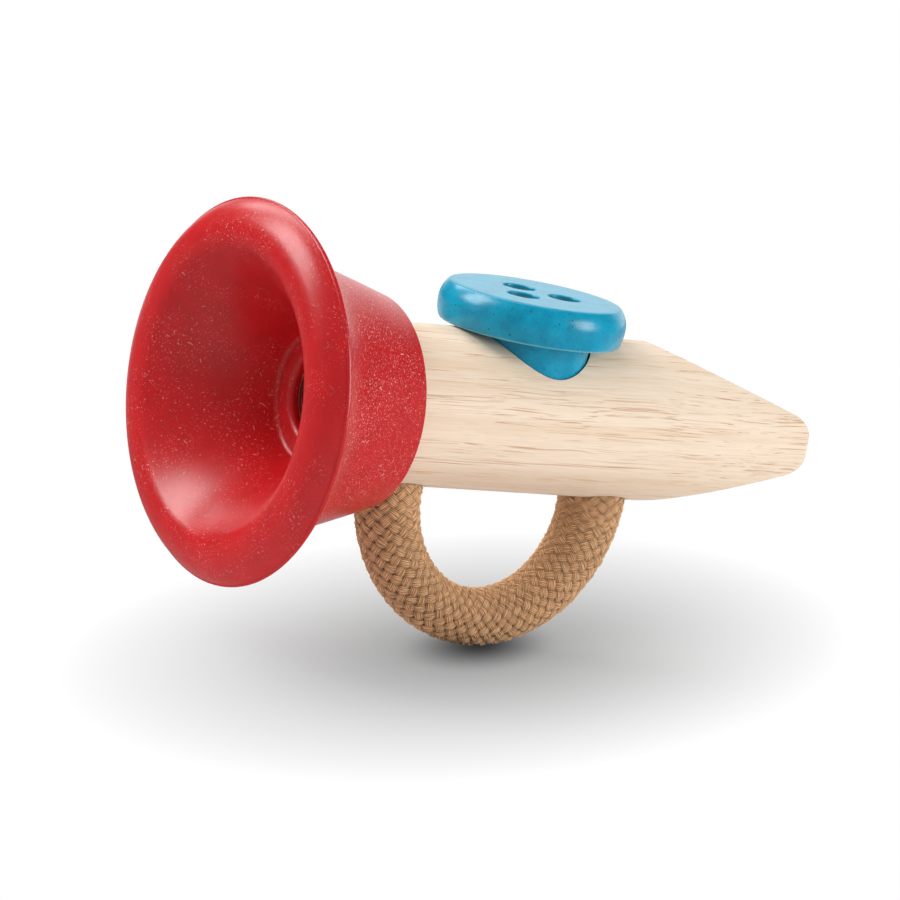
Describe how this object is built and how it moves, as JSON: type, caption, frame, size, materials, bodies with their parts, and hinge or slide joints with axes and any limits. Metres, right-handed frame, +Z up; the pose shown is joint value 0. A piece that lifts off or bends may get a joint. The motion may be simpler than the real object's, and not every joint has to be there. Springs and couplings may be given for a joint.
{
  "type": "toy kazoo",
  "caption": "Wooden toy kazoo with a flared horn, a button cap over its membrane, a duck-bill mouthpiece and a braided rope finger loop below.",
  "frame": {"origin": "below the middle of the part's length and width, at the lowest point of the rope handle", "axes": "+X along the dowel towards the mouthpiece, +Z up through the button cap, +Y to the left of a player who looks along +X"},
  "size_m": [0.104, 0.0588, 0.0667],
  "materials": {
    "horn": "red satin, flecked wood fibre",
    "body": "pale matt rubberwood with fine brown pores",
    "membrane_cap": "blue satin paint on wood fibre, fine dark specks",
    "membrane": "thin clear film",
    "membrane_ring": "raw card",
    "rope_cover": "tan braided cotton",
    "rope_core": "undyed cotton filler"
  },
  "bodies": {
    "instrument": {"horn": "horn", "body": "body", "membrane": "membrane", "membrane_ring": "membrane_ring", "rope_cover": "rope_cover", "rope_core": "rope_core"},
    "cap": {"membrane_cap": "membrane_cap"}
  },
  "joints": [
    {"name": "cap_pulls_off", "type": "slide", "parent": "instrument", "child": "cap", "axis": [0, 0, 1], "range_m": [0, 0.012]}
  ]
}
